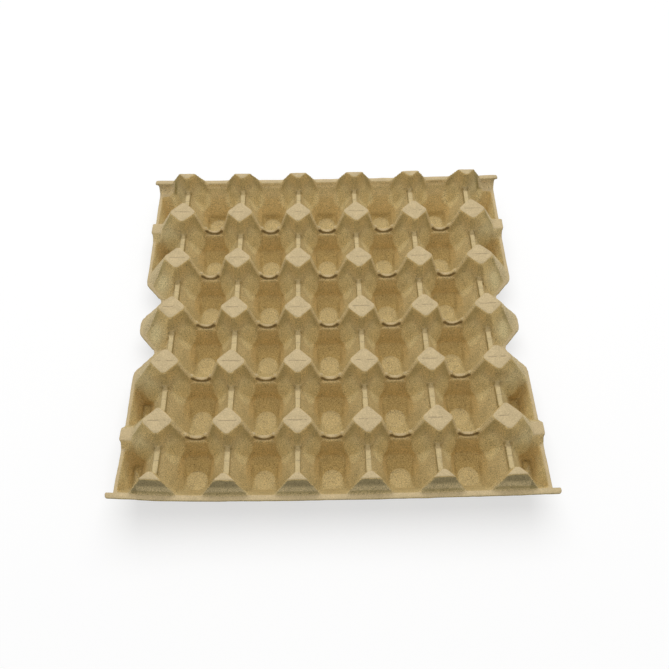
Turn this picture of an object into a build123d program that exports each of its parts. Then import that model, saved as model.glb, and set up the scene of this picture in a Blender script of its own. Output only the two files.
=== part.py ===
# A moulded pulp tray for thirty eggs: one thin sheet of recycled paper fibre, drawn onto a
# mould while wet and dried in one piece. Flat-topped posts stand between the cups, low
# webs and fins join the posts, and a flange runs along the front and the back edge.
#
# The sheet is made the way it lies on its mould. Every open space above it, such as an egg
# cup, is a solid of its own. The same spaces, larger all round by the wall, minus the
# spaces themselves, leave a sheet of even thickness.
#
# Millimetres, +Z up. The origin is on the table, under the middle of the tray.

from build123d import *
from math import atan, degrees, sqrt
import os

os.makedirs("parts", exist_ok=True)

# The tray
pitch = 48.0            # from one egg cup to the next, both ways
columns = 5             # egg cups across, along X
rows = 6                # egg cups from front to back, along Y
height = 47.6           # from the table to the top of the posts
wall = 2.2              # thickness of the dried pulp

# The posts
post_half = 11.4        # half the diagonal of a post's square top, before webs and fins cut its corners
post_spread = 0.31      # growth of that half diagonal for each millimetre down

# The webs between posts that stand side by side, with a rounded dip in the saddle
web = 2.6               # thickness
saddle_depth = 19.5     # from the post tops down to the saddle
dip_half = 5.8          # half the width of the dip
dip_depth = 4.8         # how far it goes below the saddle
ledge_depth = 26.6      # from the post tops down to the ledges and the side rims
ledge = 1.0             # width of a ledge

# The fins between posts that stand one behind the other
fin = 3.0               # thickness
fin_depth = 13.2        # from the post tops down to the fins
fin_side = 3.0          # height of the upright sides of a fin or a flange

# The bottom of a cup, a shallow bowl round a nearly round floor
floor_half = 7.5        # half the width of the floor
corner_half = 7.5       # the same between the facets that round its corners
corner_spread = 2.4     # outward run of these facets for each millimetre up
bowl_half = 16.8        # from the middle of a cup to where the walls under its webs leave the bowl
bowl_depth = 41.9       # from the post tops down to there

# The front and back edge
flange_depth = 15.8     # from the post tops down to the flange
flange_inside = 1.0     # how far it reaches inside the last row line
flange_edge = 3.4       # how far it stands out past that line
half_post_cut = 4.3     # how far inside that line the top of a half post is cut
half_post_foot = 0.2    # how far past that line its face meets the flange
ear_inside = 2.4        # how far the flange's ends reach inside the last row line
ear_edge = 7.0          # how far they stand out past the last column line
ear_round = 2.4         # their rounded corners

# The sides
rim_edge = 4.4          # how far a side rim stands out past the last column line
rim = 2.6               # its width
side_slope = 0.3        # inward run of the wall below it for each millimetre down
corner_gap = 1.5        # how far the rim's ends reach into the front and back wall
tab_inside = 7.0        # how far a tab reaches inside the last column line
tab_edge = 5.4          # how far it stands out past that line
tab_half = 4.9          # half its width
tab_depth = 20.0        # from the post tops down to the tab
tab_slope = 5.0         # how far its front and back face spread on their way to the rim
grip_reach = 15.0       # how deep a finger notch goes into the rim
grip_half = 17.6        # half the width of its mouth
grip_round = 6.0        # rounding of its inner end
grip_mouth = 7.0        # rounding of its mouth

# Places that follow from the sizes
half_x = (columns + 1) * pitch / 2      # the last column line, through the side dimples
half_y = rows * pitch / 2               # the last row line, through the half posts
floor = wall
sky = height + 6.0                      # above everything
far = pitch                             # wide of everything in one cup
saddle_z = height - saddle_depth
ledge_z = height - ledge_depth
fin_z = height - fin_depth
flange_z = height - flange_depth
tab_z = height - tab_depth
bowl_z = height - bowl_depth
tab_y = half_y - pitch                  # the tabs stand on the last full row line
rim_wall_x = rim_edge - rim             # top of the wall under a side rim, from the column line


def post_reach(z):
    """Half the diagonal of a post, at a height above the table."""
    return post_half + post_spread * (height - z)


# The walls of a cup, from high above it down to its floor
fin_wall = [(pitch / 2 - fin / 2, sky), (pitch / 2 - fin / 2, fin_z - fin_side), (floor_half, floor)]
web_wall = [(pitch / 2 - web / 2, sky), (pitch / 2 - web / 2, ledge_z),
            (pitch / 2 - web / 2 - ledge, ledge_z), (bowl_half, bowl_z), (floor_half, floor)]
flange_wall = [(pitch / 2 - flange_inside, sky), (pitch / 2 - flange_inside, flange_z - fin_side),
               (floor_half, floor)]
knee_z = floor + ((pitch - post_reach(floor)) / sqrt(2) - corner_half) / (corner_spread - post_spread / sqrt(2))
post_wall = [((pitch - post_reach(sky)) / sqrt(2), sky), ((pitch - post_reach(knee_z)) / sqrt(2), knee_z),
             (corner_half, floor)]

# The outline of a finger notch in the right-hand rim
with BuildSketch() as grip_outline:
    with BuildLine():
        Polyline(
            (rim_edge, -grip_half), (rim_edge - grip_reach, 0), (rim_edge, grip_half),
            (far, grip_half), (far, -grip_half), close=True,
        )
    make_face()
    fillet(vertices().sort_by(Axis.X)[0], grip_round)


def cup_space(grow, before, behind):
    """The open space of one egg cup between two given walls, made larger all round by grow."""
    with BuildPart() as space:
        # from side to side, between the fins
        with BuildSketch(Plane.XZ):
            with BuildLine():
                Polyline(*fin_wall, *[(-x, z) for x, z in reversed(fin_wall)], close=True)
            make_face()
            offset(amount=grow, kind=Kind.INTERSECTION)
        extrude(amount=pitch, both=True)
        # from front to back, between the webs
        with BuildSketch(Plane.YZ):
            with BuildLine():
                Polyline(*behind, *[(-y, z) for y, z in reversed(before)], close=True)
            make_face()
            offset(amount=grow, kind=Kind.INTERSECTION)
        extrude(amount=pitch, both=True, mode=Mode.INTERSECT)
        # between the flat sides of the four posts around it, and the facets round its floor
        for turn in (45, -45):
            with BuildSketch(Plane.XZ.rotated((0, 0, turn))):
                with BuildLine():
                    Polyline(*post_wall, *[(-d, z) for d, z in reversed(post_wall)], close=True)
                make_face()
                offset(amount=grow, kind=Kind.INTERSECTION)
            extrude(amount=2 * pitch, both=True, mode=Mode.INTERSECT)
    return space.part


def grip_plug(grow):
    """What a finger notch on the right keeps out of a side dimple, made smaller by grow."""
    with BuildPart() as plug:
        with BuildSketch(Plane.XY.offset(ledge_z)):
            add(grip_outline.sketch)
            offset(amount=rim - grow, kind=Kind.INTERSECTION)
        extrude(amount=-ledge_z - wall, taper=-degrees(atan(side_slope)))
    return plug.part


def side_space(grow, before, behind, grip):
    """The open space of a dimple under the right-hand rim, made larger all round by grow."""
    with BuildPart() as space:
        add(cup_space(grow, before, behind))
        with BuildSketch(Plane.XZ):
            with BuildLine():
                Polyline(
                    (-far, 0), (-far, sky), (far, sky), (far, ledge_z), (rim_wall_x, ledge_z),
                    (rim_wall_x - side_slope * ledge_z, 0), close=True,
                )
            make_face()
            offset(amount=grow, kind=Kind.INTERSECTION)
        extrude(amount=pitch, both=True, mode=Mode.INTERSECT)
        if grip:
            add(grip_plug(grow), mode=Mode.SUBTRACT)
    return space.part


def tab_plug(grow):
    """What a tab on the right keeps out of the side dimples, made smaller by grow."""
    rim_half = tab_half + tab_slope
    foot_half = rim_half + side_slope * ledge_z
    with BuildPart() as plug:
        with BuildSketch(Plane.YZ):
            with BuildLine():
                Polyline(
                    (-foot_half, 0), (-rim_half, ledge_z), (-tab_half, tab_z),
                    (tab_half, tab_z), (rim_half, ledge_z), (foot_half, 0), close=True,
                )
            make_face()
            offset(amount=-grow, kind=Kind.INTERSECTION)
        extrude(amount=pitch, both=True)
        with BuildSketch(Plane.XZ):
            with BuildLine():
                Polyline((-tab_inside - side_slope * tab_z, 0), (-tab_inside, tab_z), (far, tab_z), (far, 0),
                         close=True)
            make_face()
            offset(amount=-grow, kind=Kind.INTERSECTION)
        extrude(amount=pitch, both=True, mode=Mode.INTERSECT)
    return plug.part


def saddle_space(grow):
    """The space over one web, between two posts that stand side by side."""
    low = pitch / 2 - post_reach(saddle_z) + web / 2
    high = pitch / 2 - post_reach(sky) + web / 2
    with BuildPart() as space:
        with BuildSketch(Plane.XZ):
            with BuildLine():
                Polyline((dip_half, saddle_z), (low, saddle_z), (high, sky), (-high, sky), (-low, saddle_z),
                         (-dip_half, saddle_z))
                ThreePointArc((-dip_half, saddle_z), (0, saddle_z - dip_depth), (dip_half, saddle_z))
            make_face()
            offset(amount=grow, kind=Kind.INTERSECTION)
        extrude(amount=web / 2 + ledge, both=True)
    return space.part


def fin_space(grow):
    """The space over one fin, between two posts that stand one behind the other."""
    low = pitch / 2 - post_reach(fin_z) + fin / 2
    high = pitch / 2 - post_reach(sky) + fin / 2
    with BuildPart() as space:
        with BuildSketch(Plane.YZ):
            with BuildLine():
                Polyline((-low, fin_z), (low, fin_z), (high, sky), (-high, sky), close=True)
            make_face()
            offset(amount=grow, kind=Kind.INTERSECTION)
        extrude(amount=fin / 2 + 0.5, both=True)
    return space.part


def flange_space(grow):
    """The space over the back flange, behind the half posts and between them."""
    low = pitch / 2 - post_reach(flange_z) + flange_inside
    high = pitch / 2 - post_reach(sky) + flange_inside
    slope = (half_post_cut + half_post_foot) / flange_depth
    with BuildPart() as space:
        with BuildSketch(Plane.YZ):
            with BuildLine():
                Polyline(
                    (half_y + half_post_foot, flange_z), (half_y + far, flange_z), (half_y + far, sky),
                    (half_y - half_post_cut - slope * (sky - height), sky), close=True,
                )
            make_face()
            offset(amount=grow, kind=Kind.INTERSECTION)
        extrude(amount=half_x + far, both=True)
        with BuildSketch(Plane.XZ.offset(-half_y)):
            with GridLocations(pitch, 1, columns + 2, 1):
                Polygon((-low, flange_z), (low, flange_z), (high, sky), (-high, sky), align=None)
            offset(amount=grow, kind=Kind.INTERSECTION)
        extrude(amount=half_post_cut, both=True)
    return space.part


def rim_space(grow):
    """The space over the right-hand rim, beside the last column of posts."""
    post_x = half_x - pitch / 2
    low = post_x + post_reach(ledge_z) - web / 2
    high = post_x + post_reach(sky) - web / 2
    last = half_y - flange_inside
    run = (flange_wall[1][0] - floor_half) / (flange_wall[1][1] - floor)
    end = half_y - pitch / 2 + floor_half + run * (ledge_z - floor) + corner_gap
    end_z = ledge_z + (last - end) / run
    with BuildPart() as space:
        with BuildSketch(Plane.XZ):
            with BuildLine():
                Polyline((high, sky), (low, ledge_z), (half_x + far, ledge_z), (half_x + far, sky), close=True)
            make_face()
            offset(amount=grow, kind=Kind.INTERSECTION)
        extrude(amount=half_y, both=True)
        with BuildSketch(Plane.YZ):
            with BuildLine():
                Polyline(
                    (-last, sky), (-last, end_z), (-end, ledge_z), (end, ledge_z), (last, end_z), (last, sky),
                    close=True,
                )
            make_face()
            offset(amount=grow, kind=Kind.INTERSECTION)
        extrude(amount=half_x + far, both=True, mode=Mode.INTERSECT)
    return space.part


def right_space(grow):
    """Every open space of the right-hand side, made larger all round by grow."""
    with BuildPart() as space:
        add(rim_space(grow))
        with Locations((half_x, -half_y + pitch / 2)):
            add(side_space(grow, flange_wall, web_wall, False))
        with Locations((half_x, half_y - pitch / 2)):
            add(side_space(grow, web_wall, flange_wall, False))
        with Locations((half_x, -1.5 * pitch), (half_x, 1.5 * pitch)):
            add(side_space(grow, web_wall, web_wall, False))
        with Locations((half_x, -0.5 * pitch), (half_x, 0.5 * pitch)):
            add(side_space(grow, web_wall, web_wall, True))
        with Locations((half_x, tab_y), (half_x, -tab_y)):
            add(tab_plug(grow), mode=Mode.SUBTRACT)
    return space.part


def open_space(grow):
    """Everything open above the tray, made larger all round by grow."""
    with BuildPart() as space:
        with Locations((0, 0, height - grow)):
            Box(2 * half_x + far, 2 * half_y + far, far, align=(Align.CENTER, Align.CENTER, Align.MIN))
        with GridLocations(pitch, pitch, columns, rows - 2):
            add(cup_space(grow, web_wall, web_wall))
        with Locations((0, -half_y + pitch / 2)):
            with GridLocations(pitch, 1, columns, 1):
                add(cup_space(grow, flange_wall, web_wall))
        with Locations((0, half_y - pitch / 2)):
            with GridLocations(pitch, 1, columns, 1):
                add(cup_space(grow, web_wall, flange_wall))
        with GridLocations(pitch, pitch, columns, rows - 1):
            add(saddle_space(grow))
        with GridLocations(pitch, pitch, columns + 1, rows):
            add(fin_space(grow))
        back = add(flange_space(grow))
        mirror(back, about=Plane.XZ)
        right = add(right_space(grow))
        mirror(right, about=Plane.YZ)
    return space.part


# The outline of the rims and tabs with the finger notches, and of the flanges with their ears
with BuildPart() as outline:
    with BuildSketch():
        Rectangle(2 * (half_x + rim_edge), 2 * (half_y + flange_edge))
        with Locations((half_x, pitch / 2), (half_x, -pitch / 2)):
            add(grip_outline.sketch, mode=Mode.SUBTRACT)
        with Locations(Location((-half_x, pitch / 2), 180), Location((-half_x, -pitch / 2), 180)):
            add(grip_outline.sketch, mode=Mode.SUBTRACT)
        mouth_corners = vertices().filter_by(lambda v: abs(v.Y) < pitch and abs(v.X) > half_x)
        fillet(mouth_corners, grip_mouth)
        with Locations((0, tab_y), (0, -tab_y)):
            Rectangle(2 * (half_x + tab_edge), 2 * tab_half)
    extrude(amount=height)
    with BuildSketch(Plane.XY.offset(flange_z - wall)):
        ear_y = half_y + flange_edge / 2 - ear_inside / 2
        with Locations((0, ear_y), (0, -ear_y)):
            RectangleRounded(2 * (half_x + ear_edge), flange_edge + ear_inside, ear_round)
    extrude(amount=height - flange_z + wall)

with BuildPart() as egg_tray:
    add(open_space(wall))
    add(open_space(0), mode=Mode.SUBTRACT)
    add(outline.part, mode=Mode.INTERSECT)
egg_tray.part.label = "egg_tray"
export_step(egg_tray.part, "parts/egg_tray.step")
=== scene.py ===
import bpy
import numpy as np
from math import exp, radians
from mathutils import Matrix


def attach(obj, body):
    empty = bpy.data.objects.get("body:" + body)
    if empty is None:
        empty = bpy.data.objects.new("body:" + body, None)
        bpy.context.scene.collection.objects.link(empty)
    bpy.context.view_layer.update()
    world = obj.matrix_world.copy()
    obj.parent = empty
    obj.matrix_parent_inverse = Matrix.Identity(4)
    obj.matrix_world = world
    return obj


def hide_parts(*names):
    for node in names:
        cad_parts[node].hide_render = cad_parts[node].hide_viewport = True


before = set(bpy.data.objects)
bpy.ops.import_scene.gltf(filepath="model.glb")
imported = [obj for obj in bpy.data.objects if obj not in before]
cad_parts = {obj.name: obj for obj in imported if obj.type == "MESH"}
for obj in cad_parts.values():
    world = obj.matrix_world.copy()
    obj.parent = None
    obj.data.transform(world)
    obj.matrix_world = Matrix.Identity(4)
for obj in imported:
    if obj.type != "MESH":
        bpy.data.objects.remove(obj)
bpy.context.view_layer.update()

# The tray
# One sheet of grey-brown recycled paper pulp, about 2 mm thick. It is sucked onto a wire mould
# while wet and dried in one piece, so every edge is a little round and nothing is quite true.
tray_top = 0.0476               # the tops of the posts
tray_floor = 0.0022             # the upper face at the bottom of a cup
fin_top = 0.0344                # the top of a fin
pitch = 0.048                   # from cup to cup
same_point = 0.00001            # corners of the CAD mesh this near are one point
pulp_grid = 0.0007              # grid on which the sheet is laid out
edge_rounding = 0.5             # how far each pass rounds the edges
edge_passes = 6
most_triangles = 190000


def take_up(piece):
    """Select this piece alone."""
    bpy.ops.object.select_all(action="DESELECT")
    bpy.context.view_layer.objects.active = piece
    piece.select_set(True)


def shape_all(step, **settings):
    """Take one step of edit mode on all of the selected piece."""
    bpy.ops.object.mode_set(mode="EDIT")
    bpy.ops.mesh.select_all(action="SELECT")
    step(**settings)
    bpy.ops.object.mode_set(mode="OBJECT")


def shape_with(kind, name, **settings):
    """Give the tray a modifier of this kind and apply it."""
    modifier = tray.modifiers.new(name, kind)
    for setting, value in settings.items():
        setattr(modifier, setting, value)
    bpy.ops.object.modifier_apply(modifier=modifier.name)


def places():
    """The places of the tray's points, one row each."""
    flat = np.empty(3 * len(tray.data.vertices), dtype=np.float32)
    tray.data.vertices.foreach_get("co", flat)
    return flat.reshape(-1, 3)


cad_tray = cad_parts["egg_tray"]
tray = cad_tray.copy()
tray.data = cad_tray.data.copy()
tray.name = "pulp_tray"
bpy.context.scene.collection.objects.link(tray)
take_up(tray)
shape_all(bpy.ops.mesh.remove_doubles, threshold=same_point)

# Beside each outer post the sheet folds down in flat facets, to the edge of a finger notch, to
# the rim over a dimple, or to a tab. A corner of a facet is given by how far out from the post,
# how far along the side and how high it lies.
outer_posts = 2.5 * pitch
fold_top = ((0.0096, 0.0, 0.0473), (0.0100, 0.0013, 0.0473),
            (0.0012, 0.0098, 0.0473), (0.0012, 0.0140, 0.0342))
fold_foot = ((0.0066, 0.0145, 0.0210), (0.0128, 0.0130, 0.0050),
             (0.0205, 0.0120, 0.0034), (0.0150, 0.0070, 0.0080))
dimple_fold = fold_top + ((0.0270, 0.0, 0.0206), (0.0264, 0.0065, 0.0206)) + fold_foot
tab_fold = fold_top + ((0.0190, 0.0, 0.0274), (0.0190, 0.0049, 0.0274),
                       (0.0230, 0.0090, 0.0209), (0.0258, 0.0, 0.0205)) + fold_foot
notch_fold = fold_top + ((0.0270, 0.0, 0.0206), (0.0264, 0.0055, 0.0206),
                         (0.0116, 0.0244, 0.0209), (0.0058, 0.0244, 0.0225),
                         (0.0220, 0.0045, 0.0150), (0.0150, 0.0060, 0.0130),
                         (0.0085, 0.0220, 0.0150))

# The posts are counted from the middle one to each end, and a fold lies before (-1) or beyond
# (1) its post.
folds = ((0, 1, notch_fold), (1, -1, notch_fold), (1, 1, dimple_fold),
         (2, -1, tab_fold), (2, 1, tab_fold))
for post, way, corners in folds:
    for side in (-1, 1):
        for end in (-1, 1):
            mesh = bpy.data.meshes.new("fold")
            mesh.from_pydata([(side * (outer_posts + out), end * (post * pitch + way * along), up)
                              for out, along, up in corners], [], [])
            facets = bpy.data.objects.new("fold", mesh)
            bpy.context.scene.collection.objects.link(facets)
            take_up(facets)
            shape_all(bpy.ops.mesh.convex_hull)
            tray.select_set(True)
            bpy.context.view_layer.objects.active = tray
            bpy.ops.object.join()

shape_with("REMESH", "sheet", mode="VOXEL", voxel_size=pulp_grid)
shape_with("SMOOTH", "rounding", factor=edge_rounding, iterations=edge_passes)

# A round pad is pressed into the bottom of every cup, and a notch into the far end of every fin.
pad_radius = 0.0074
pad_depth = 0.0006
pad_search = 0.0009             # how far above and below the floor its faces are looked for
notch_half = 0.0026             # half the width of a notch
notch_start = 0.0168            # how far before the post behind it starts
notch_end = 0.0152
notch_depth = 0.0014
notch_below = 0.0006            # how far below and above the fin its faces are looked for
notch_above = 0.0012
press_blend = 0.3
rest = places()
height = rest[:, 2]
from_cup = np.hypot((rest[:, 0] + pitch / 2) % pitch - pitch / 2, rest[:, 1] % pitch - pitch / 2)
beside_fin = rest[:, 0] % pitch - pitch / 2
before_post = -((rest[:, 1] + pitch / 2) % pitch - pitch / 2)
in_pad = ((from_cup < pad_radius) & (height > tray_floor - pad_search)
          & (height < tray_floor + pad_search))
in_notch = ((abs(beside_fin) < notch_half)
            & (before_post > notch_end) & (before_post < notch_start)
            & (height > fin_top - notch_below) & (height < fin_top + notch_above))
for pressed, depth in ((in_pad, pad_depth), (in_notch, notch_depth)):
    bpy.ops.object.mode_set(mode="EDIT")
    bpy.ops.mesh.select_mode(type="VERT")
    bpy.ops.mesh.select_all(action="DESELECT")
    bpy.ops.object.mode_set(mode="OBJECT")
    tray.data.vertices.foreach_set("select", pressed)
    bpy.ops.object.mode_set(mode="EDIT")
    bpy.ops.transform.translate(value=(0, 0, -depth))
    bpy.ops.mesh.vertices_smooth(factor=press_blend)
    bpy.ops.object.mode_set(mode="OBJECT")

# The fins are a little fuller along their tops than at their feet.
fin_half = 0.0024               # half the thickness of a fin at most
fin_start = 0.0150              # where a fin starts and ends between its posts
fin_end = 0.0330
fin_swell = 0.0005              # how much each side stands out
swell_start = 0.0045            # how far below the top it starts
swell_rise = 0.0020             # and how much higher it is full
swell_stop = 0.0010             # how far above the top it stops
fin_core = 0.0010               # the middle of a fin moves less
swelling = (np.clip((height - fin_top + swell_start) / swell_rise, 0, 1)
            * (height < fin_top + swell_stop) * (abs(beside_fin) < fin_half)
            * (before_post % pitch > fin_start) * (before_post % pitch < fin_end))
swollen = places()
swollen[:, 0] += (np.sign(beside_fin) * np.clip(abs(beside_fin) / fin_core, 0, 1)
                  * fin_swell * swelling)
tray.data.vertices.foreach_set("co", swollen.ravel())
tray.data.update()

# The fibre mat is thicker here and thinner there.
for name, size, depth in (("broad_unevenness", 0.016, 0.0006),
                          ("fine_unevenness", 0.0035, 0.00025)):
    unevenness = bpy.data.textures.new(name, "CLOUDS")
    unevenness.noise_scale = size
    unevenness.noise_depth = 2
    shape_with("DISPLACE", name, texture=unevenness, texture_coords="LOCAL",
               strength=depth, mid_level=0.5)

thinned = min(1.0, most_triangles / (2 * len(tray.data.polygons)))
shape_with("DECIMATE", "thinning", ratio=thinned)
bpy.ops.object.shade_smooth()

# Each point keeps its place on the mould, which the colours of the pulp follow.
mould = tray.data.attributes.new(name="mould", type="FLOAT_VECTOR", domain="POINT")
mould.data.foreach_set("vector", places().ravel())

# As it dries the sheet warps: its edges rise, most at the front left ear, and its left side
# draws in. Each length is how far the edges or corners named beside it rise or move.
half_width = 0.150
half_depth = 0.147
rise_across = 0.0018            # the left and right edge
rise_along = 0.0022             # the front and back edge
twist = 0.0007                  # the front left and back right corner, and down at the others
right_rise = 0.0011             # the right corners, and down at the left ones
front_rise = 0.00075            # the front corners, and down at the back ones
back_rise = 0.0005              # the back edge, and down at the front
shift = 0.00107                 # the left and right edge, to the right
skew = 0.0003                   # the front corners apart, and the back ones together
narrowing = 0.00016             # the left and right edge inwards, evenly from the middle
edge_narrowing = 0.001          # the same, but mostly at the edges
side_drift = 0.00063            # the left and right edge, to the back
end_drift = 0.0002              # the front and back edge, to the front
ear_rise = 0.0078
ear_x = -0.155
ear_y = -0.147
ear_reach = 0.022
cage = 0.36                     # the lattice that bends the tray
cage_points = 17
bpy.ops.object.add(type="LATTICE", location=(0, 0, tray_top / 2))
bender = bpy.context.object
bender.scale = (cage, cage, tray_top)
bender.data.points_u = cage_points
bender.data.points_v = cage_points
bender.data.points_w = 2
for point in bender.data.points:
    x = point.co.x * cage
    y = point.co.y * cage
    over = (point.co.z - 0.5) * tray_top
    a = x / half_width
    b = y / half_depth
    ear = ear_rise * exp(-((x - ear_x) ** 2 + (y - ear_y) ** 2) / (2 * ear_reach ** 2))
    rise = (rise_across * a * a + rise_along * b * b + twist * a * b
            + right_rise * a * b * b - front_rise * a * a * b + back_rise * b ** 3)
    lean_x = (2 * rise_across * a + twist * b + right_rise * b * b
              - 2 * front_rise * a * b) / half_width
    lean_y = (2 * rise_along * b + twist * a + 2 * right_rise * a * b
              - front_rise * a * a + 3 * back_rise * b * b) / half_depth
    move_x = shift * a * a - skew * a * b - edge_narrowing * a ** 3 - narrowing * a
    move_y = side_drift * a * a - end_drift * b * b
    point.co_deform.x = point.co.x + (move_x - over * lean_x) / cage
    point.co_deform.y = point.co.y + (move_y - over * lean_y) / cage
    point.co_deform.z = point.co.z + (rise + ear) / tray_top
take_up(tray)
shape_with("LATTICE", "warping", object=bender)
bpy.data.objects.remove(bender)

# It stands on the lowest of its cups.
lowest = float(places()[:, 2].min())
shape_all(bpy.ops.transform.translate, value=(0, 0, -lowest))

# The pulp has these colours, some of them painted light and shade, each with the grain of its
# fibres over it.
olive_pulp = (0.61, 0.475, 0.23)
shaded_pulp = (0.62, 0.455, 0.19)
cut_face_shade_pulp = (0.40, 0.32, 0.16)
bounce_light_pulp = (0.72, 0.59, 0.30)
painted_shade_pulp = (0.42, 0.325, 0.13)
wall_shade_brown = (0.58, 0.425, 0.18)
deep_shade_brown = (0.39, 0.275, 0.10)
bowl_pulp = (0.455, 0.355, 0.165)
pad_pulp = (0.51, 0.40, 0.195)
highlight_pulp = (0.74, 0.59, 0.31)
fold_highlight_pulp = (0.70, 0.56, 0.31)
skin_pulp = (0.545, 0.430, 0.245)
ridge_pulp = (0.56, 0.445, 0.235)
dip_shade_pulp = (0.21, 0.145, 0.06)
notch_shade_pulp = (0.38, 0.28, 0.12)
corner_shade_pulp = (0.38, 0.30, 0.13)
crease_shade_pulp = (0.33, 0.25, 0.15)
grain_size = 0.75               # these sizes are in millimetres
fleck_size = 1.2
fluff_size = 1.6
ragged_size = 2.2
clump_size = 7.0
grain_strength = 2.4
clump_strength = 0.3

pulp = bpy.data.materials.new("moulded_pulp")
pulp.use_nodes = True
nodes = pulp.node_tree.nodes
links = pulp.node_tree.links
shader = nodes["Principled BSDF"]
shader.inputs["Specular IOR Level"].default_value = 0.15


def reckon(operation, *values):
    """One sum of the pattern, from plain numbers or from what other nodes give."""
    node = nodes.new("ShaderNodeMath")
    node.operation = operation
    for socket, value in zip(node.inputs, values):
        if isinstance(value, (int, float)):
            socket.default_value = value
        else:
            links.new(value, socket)
    return node.outputs["Value"]


def fade(value, none, full):
    """Nought at one value, one at another, and smooth between them."""
    node = nodes.new("ShaderNodeMapRange")
    node.interpolation_type = "SMOOTHSTEP"
    links.new(value, node.inputs["Value"])
    node.inputs["From Min"].default_value = none
    node.inputs["From Max"].default_value = full
    return node.outputs["Result"]


def where_all(*patterns):
    """Where every one of these patterns is, and weaker by each plain number."""
    both = patterns[0]
    for pattern in patterns[1:]:
        both = reckon("MULTIPLY", both, pattern)
    return both


def band(value, none, full, still_full, none_again):
    """One between two values, and fading to nought on both sides of them."""
    return where_all(fade(value, none, full), fade(value, none_again, still_full))


def off(value, other):
    """How far two values are apart."""
    return reckon("ABSOLUTE", reckon("SUBTRACT", value, other))


def distance(*sides):
    """The distance that has these sides."""
    squares = reckon("POWER", sides[0], 2)
    for side in sides[1:]:
        squares = reckon("ADD", squares, reckon("POWER", side, 2))
    return reckon("SQRT", squares)


def lay_over(under, colour, where, kind="MIX"):
    """A colour laid over what is there, where a pattern says."""
    node = nodes.new("ShaderNodeMix")
    node.data_type = "RGBA"
    node.blend_type = kind
    sockets = (node.inputs[6], node.inputs[7], node.inputs[0])
    for socket, value in zip(sockets, (under, colour, where)):
        if isinstance(value, tuple):
            socket.default_value = (*value, 1)
        elif isinstance(value, float):
            socket.default_value = value
        else:
            links.new(value, socket)
    return node.outputs[2]


def fibres(size, detail, roughness):
    """Clumps of fibre of about this size in millimetres."""
    node = nodes.new("ShaderNodeTexNoise")
    node.inputs["Scale"].default_value = 1 / size
    node.inputs["Detail"].default_value = detail
    node.inputs["Roughness"].default_value = roughness
    links.new(spot, node.inputs["Vector"])
    return node.outputs["Fac"]


def fray(value, depth):
    """A value that wanders this far, for an edge that isn't clean."""
    return reckon("MULTIPLY_ADD", ragged, depth, value)


# The pattern goes by the place on the mould, in millimetres.
on_mould = nodes.new("ShaderNodeAttribute")
on_mould.attribute_name = "mould"
millimetres = nodes.new("ShaderNodeVectorMath")
millimetres.operation = "SCALE"
millimetres.inputs["Scale"].default_value = 1000
links.new(on_mould.outputs["Vector"], millimetres.inputs[0])
spot = millimetres.outputs["Vector"]
split = nodes.new("ShaderNodeSeparateXYZ")
links.new(spot, split.inputs["Vector"])
x, y, z = split.outputs
facing = nodes.new("ShaderNodeSeparateXYZ")
links.new(nodes.new("ShaderNodeNewGeometry").outputs["Normal"], facing.inputs["Vector"])
up = facing.outputs["Z"]

clumps = fibres(clump_size, 2, 0.5)
grain = fibres(grain_size, 3, 0.75)
flecks = fibres(fleck_size, 1, 0.5)
ragged = reckon("SUBTRACT", fibres(ragged_size, 2, 0.6), 0.5)

# How far a point lies from the middle of the tray, of its cup and of its post.
cell = 1000 * pitch
half_cell = cell / 2
cut_lean = 0.285                # what the front of a half post leans in each millimetre
away_x = reckon("ABSOLUTE", x)
away_y = reckon("ABSOLUTE", y)
cup_x = reckon("ABSOLUTE", reckon("WRAP", x, half_cell, -half_cell))
behind_cup = reckon("SUBTRACT", reckon("WRAP", y, cell, 0), half_cell)
cup_y = reckon("ABSOLUTE", behind_cup)
post_x = off(reckon("WRAP", x, cell, 0), half_cell)
post_y = reckon("WRAP", y, half_cell, -half_cell)
beside_row = reckon("ABSOLUTE", post_y)

# Steep faces, and the parts of the tray that some colours keep to or keep off.
outer_face = reckon("MULTIPLY_ADD", z, cut_lean, away_y)
steep = fade(up, 0.6, 0.4)
inner_row = where_all(fade(away_y, 136.0, 134.0), fade(away_x, 130.0, 126.0))
at_notch = where_all(fade(away_x, 123.0, 126.0), fade(away_y, 47.5, 45.5))
outside = where_all(fade(away_x, 129.5, 131.5), fade(outer_face, 152.4, 151.4))

# The walls are olive, with a warmer painted shade near the tops, and painted shade darkens the
# cut faces of the half posts.
colour = lay_over(olive_pulp, shaded_pulp, fade(z, 34, 44))
cut_face = where_all(fade(outer_face, 152.0, 152.8), fade(z, 31.5, 33.0), steep)
colour = lay_over(colour, cut_face_shade_pulp, cut_face)

# The foot of a post is painted a little paler, as painted light thrown back onto it from the
# walls nearby, and so is a tongue in each back corner of a cup.
tongue_x = 14.0
tongue_y = 13.5
tongue_height = 19.0
fin_slope = 0.514
beside_fins = reckon("MULTIPLY_ADD", z, -fin_slope, reckon("SUBTRACT", cup_x, 6.4))
foot = where_all(fade(off(cup_x, cup_y), 13.0, 5.0), band(z, 7, 12, 18, 34),
                 fade(up, 0.7, 0.5), fade(behind_cup, 4.0, -4.0),
                 reckon("MULTIPLY_ADD", fade(beside_fins, 0.2, -3.0), 0.6, 0.15))
above = reckon("SUBTRACT", z, tongue_height)
upright = reckon("MAXIMUM", reckon("MULTIPLY", above, 0.5), reckon("MULTIPLY", above, -1.0))
from_tongue = distance(reckon("SUBTRACT", cup_x, tongue_x),
                       reckon("SUBTRACT", behind_cup, tongue_y), upright)
tongue = fade(fray(from_tongue, 1.5), 9.8, 6.8)
colour = lay_over(colour, bounce_light_pulp, reckon("MAXIMUM", foot, tongue))

# Beside the webs the front of a post is a little darker: painted shade.
beside_web = where_all(band(post_y, -7.5, -3.0, -2.2, -1.4), band(z, 20, 34, 45, 47), steep)
colour = lay_over(colour, painted_shade_pulp, where_all(beside_web, 0.6))
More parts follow.
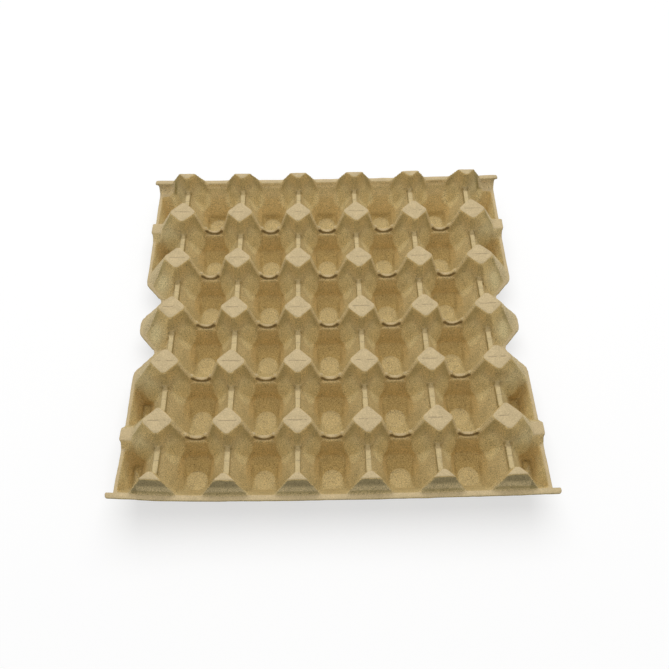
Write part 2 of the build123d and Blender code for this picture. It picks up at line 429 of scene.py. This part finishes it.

# The back of each bowl and the wall over it are painted browner, as painted shade cast by the web
# and posts behind, up to the ledge, but for the tongues and the cups at the finger notches.
high = where_all(fade(fray(cup_x, 3.0), 17.0, 11.0), fade(z, 21.5, 17.0),
                 fade(behind_cup, 6.0, 10.0), 0.8)
low = where_all(fade(fray(z, 3.0), 14.0, 11.0), fade(behind_cup, -9.0, 5.0))
bowl_shade = where_all(reckon("MAXIMUM", high, low), reckon("SUBTRACT", 1.0, tongue),
                  reckon("SUBTRACT", 1.0, at_notch), 0.85)
colour = lay_over(colour, lay_over(deep_shade_brown, wall_shade_brown, fade(z, 4.5, 8.0)), bowl_shade)

# The front of the bowl is greyer, and the pad at the bottom paler.
front_bowl = where_all(fade(z, 27.0, 17.0), fade(behind_cup, 3.0, -5.0), fade(up, 0.25, 0.6))
pad = where_all(fade(fray(distance(cup_x, cup_y), 1.0), 7.75, 7.15), fade(z, 5, 3.5),
                fade(up, 0, 0.3))
colour = lay_over(colour, bowl_pulp, where_all(front_bowl, 0.9))
colour = lay_over(colour, pad_pulp, pad)

# The front and back of a tab get the same painted shade as well.
under_tab = where_all(fade(away_x, 138.0, 140.0), fade(away_y, 91, 92),
                      band(beside_row, 4.4, 5.4, 9.0, 11.0), band(z, 15, 19, 26.8, 27.8))
colour = lay_over(colour, wall_shade_brown, where_all(under_tab, 0.8))

# The corners of the posts over the webs are painted paler, a painted highlight along each edge,
# with a painted shade line behind.
web_edge_highlight = where_all(fade(beside_row, 2.9, 1.7), band(z, 24.5, 27.5, 46.2, 47.2), steep,
                fade(away_x, 130.0, 129.0))
web_edge_shade = where_all(fade(off(post_y, 0.6), 0.6, 0.2), band(z, 24.5, 27.5, 44.0, 46.5), steep)
colour = lay_over(colour, highlight_pulp, where_all(web_edge_highlight, 0.85))
colour = lay_over(colour, painted_shade_pulp, where_all(web_edge_shade, 0.6))

# So are the folds that go down to the rims: a painted highlight along them, with a painted shade
# line along them.
post_height = 47.3
fold_start = 1.3
fold_slope = reckon("MULTIPLY_ADD", at_notch, 0.18, 0.11)
fold_edge = reckon("MULTIPLY_ADD", reckon("SUBTRACT", post_height, z), fold_slope, fold_start)
past_fold = reckon("SUBTRACT", beside_row, fold_edge)
fold_shade_line = where_all(outside, fade(past_fold, 3.5, 1.0), band(z, 21.0, 25.0, 46.0, 47.0), steep)
colour = lay_over(colour, painted_shade_pulp, fold_shade_line)
colour = lay_over(colour, fold_highlight_pulp,
                  where_all(outside, fade(past_fold, 0.6, -0.4), fade(z, 20, 21)))

# What faces up, high on the tray, gets a greyer tone, but for the tops of the fins.
skin = where_all(fade(up, 0.58, 0.88), fade(z, 18.5, 20.0))
ridge = where_all(fade(post_x, 3.4, 2.4), band(z, 33.0, 34.0, 35.0, 36.0),
                  fade(beside_row, 10.5, 12.5))
colour = lay_over(colour, skin_pulp, skin)
colour = lay_over(colour, ridge_pulp, ridge)

# A painted highlight runs along the ledge under each web and low along each fin, whose sides
# carry painted shade.
ledge_height = 20.9
side_line_height = 31.2
fin_foot_highlight = where_all(fade(off(z, side_line_height), 0.9, 0.3), band(post_x, 1.0, 1.6, 2.8, 3.4))
ledge_highlight = where_all(fade(off(z, ledge_height), 0.9, 0.4), fade(cup_y, 20.0, 21.0),
                       fade(cup_x, 10.0, 8.5), inner_row)
fin_side_shade = where_all(band(post_x, 1.0, 1.5, 2.4, 3.2), band(z, 30.6, 31.6, 33.8, 34.6),
                     fade(up, 0.75, 0.4), fade(beside_row, 12, 14))
colour = lay_over(colour, skin_pulp, where_all(fin_foot_highlight, 0.4))
colour = lay_over(colour, highlight_pulp, where_all(ledge_highlight, 0.9))
colour = lay_over(colour, painted_shade_pulp, where_all(fin_side_shade, 0.75))

# Under the dip of a web it is dark with painted shade, and so are the notch and the corners at
# the ends of a fin.
dip_height = 29.2
dip_radius = 5.9
under_dip = reckon("SUBTRACT", distance(cup_x, reckon("SUBTRACT", z, dip_height)), dip_radius)
slot = where_all(band(under_dip, 0.2, 0.8, 2.4, 3.2), inner_row, fade(behind_cup, 21.8, 22.4),
                 fade(post_y, -0.2, -0.9), fade(z, 27.5, 25.5))
notch = where_all(fade(post_x, 3.5, 2.8), band(post_y, -17.6, -16.9, -14.0, -12.5),
                  band(z, 31.0, 32.0, 34.8, 35.8))
corner = where_all(fade(post_x, 2.8, 1.8), fade(beside_row, 6.5, 8.5),
                   band(z, 35.5, 37.0, 46.0, 46.8), fade(up, 0.55, 0.4))
colour = lay_over(colour, dip_shade_pulp, where_all(slot, 0.85))
colour = lay_over(colour, notch_shade_pulp, where_all(notch, 0.5))
colour = lay_over(colour, corner_shade_pulp, where_all(corner, 0.35))

# The mould leaves a fine crease across most posts, and across the middle of the fins, darkened
# with painted shade.
bent = reckon("ABSOLUTE", reckon("MULTIPLY_ADD", reckon("SUBTRACT", clumps, 0.5), 1.2, post_y))
crease = where_all(fade(bent, 0.42, 0.2), fade(post_x, 7.5, 5.5), fade(z, 44.5, 46),
                   fade(clumps, 0.38, 0.46))
fin_line = where_all(fade(cup_y, 0.5, 0.2), fade(post_x, 2.2, 1.6), fade(z, 32, 33.5), 0.6)
line = reckon("MAXIMUM", crease, fin_line)
colour = lay_over(colour, crease_shade_pulp, where_all(line, 0.75))

# Fibres of many shades, and specks of bark and ink, are seen less on the pale skin.
rough = reckon("MULTIPLY_ADD", skin, -0.55, 1.0)
specks = where_all(fade(flecks, 0.63, 0.72), rough, rough, 0.35)
contrast = where_all(rough, grain_strength)
shade = reckon("MULTIPLY_ADD", reckon("SUBTRACT", grain, 0.5), contrast, 1.0)
shade = reckon("MULTIPLY_ADD", reckon("SUBTRACT", clumps, 0.5), clump_strength, shade)
shade = reckon("SUBTRACT", shade, specks)
grey = nodes.new("ShaderNodeCombineColor")
for socket in grey.inputs:
    links.new(shade, socket)
colour = lay_over(colour, grey.outputs["Color"], 1.0, "MULTIPLY")
links.new(colour, shader.inputs["Base Color"])
links.new(reckon("MULTIPLY_ADD", grain, 0.2, 0.78), shader.inputs["Roughness"])

relief = nodes.new("ShaderNodeBump")
relief.inputs["Strength"].default_value = 0.6
relief.inputs["Distance"].default_value = 0.00025
fluff = reckon("MULTIPLY_ADD", fibres(fluff_size, 3, 0.7), 0.8, grain)
links.new(reckon("SUBTRACT", fluff, reckon("MULTIPLY", line, 1.5)), relief.inputs["Height"])
links.new(relief.outputs["Normal"], shader.inputs["Normal"])
tray.data.materials.clear()
tray.data.materials.append(pulp)

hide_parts("egg_tray")
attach(tray, "root")

# The floor
# A wide plain table top. It looks white to the camera and in reflections, where part of it
# glows, and to all other light it is grey, so that little light comes back from it.
table_size = 12.0
table_grey = 0.35
table_glow = 0.62
bpy.ops.object.select_all(action="DESELECT")
bpy.ops.mesh.primitive_plane_add(size=table_size, location=(0, 0, 0))
floor = bpy.context.object
floor.name = "white_table"
white = bpy.data.materials.new("white_table_top")
white.use_nodes = True
nodes = white.node_tree.nodes
links = white.node_tree.links
dull = nodes["Principled BSDF"]
dull.inputs["Base Color"].default_value = (table_grey, table_grey, table_grey, 1)
dull.inputs["Roughness"].default_value = 1.0
dull.inputs["Specular IOR Level"].default_value = 0.0
bright = nodes.new("ShaderNodeBsdfDiffuse")
bright.inputs["Color"].default_value = (1.0, 1.0, 1.0, 1)
glow = nodes.new("ShaderNodeEmission")
glow.inputs["Strength"].default_value = 1.0
top = nodes.new("ShaderNodeMixShader")
top.inputs["Fac"].default_value = table_glow
links.new(bright.outputs["BSDF"], top.inputs[1])
links.new(glow.outputs["Emission"], top.inputs[2])
path = nodes.new("ShaderNodeLightPath")
seen = reckon("MAXIMUM", path.outputs["Is Camera Ray"], path.outputs["Is Glossy Ray"])
either = nodes.new("ShaderNodeMixShader")
links.new(seen, either.inputs["Fac"])
links.new(dull.outputs["BSDF"], either.inputs[1])
links.new(top.outputs["Shader"], either.inputs[2])
links.new(either.outputs["Shader"], nodes["Material Output"].inputs["Surface"])
floor.data.materials.append(white)

# The light
# A large soft lamp hangs over the tray, a little behind it and tilted to the front, in a room
# that is pale all round.
lamp_power = 20.5
lamp_size = 1.6
lamp_tilt = -13
room_light = 0.39
bpy.ops.object.light_add(type="AREA", location=(0.0, 0.35, 1.5))
lamp = bpy.context.object
lamp.data.shape = "SQUARE"
lamp.data.size = lamp_size
lamp.data.energy = lamp_power
lamp.rotation_euler = (radians(lamp_tilt), 0, 0)

room = bpy.data.worlds.new("pale_room")
room.use_nodes = True
air = room.node_tree.nodes["Background"]
air.inputs["Color"].default_value = (1.0, 1.0, 1.0, 1)
air.inputs["Strength"].default_value = room_light
bpy.context.scene.world = room

# The camera
# It looks down on the front of the tray, from a little left of its middle.
camera_place = (-0.01142, -0.33714, 0.51012)
camera_turn = (33.96, -0.84, -1.43)
lens = 40.79
bpy.ops.object.camera_add(location=camera_place)
camera = bpy.context.object
camera.rotation_euler = [radians(turn) for turn in camera_turn]
camera.data.sensor_width = 36.0
camera.data.lens = lens
camera.data.clip_start = 0.01
bpy.context.scene.camera = camera
bpy.context.scene.view_settings.view_transform = "Standard"
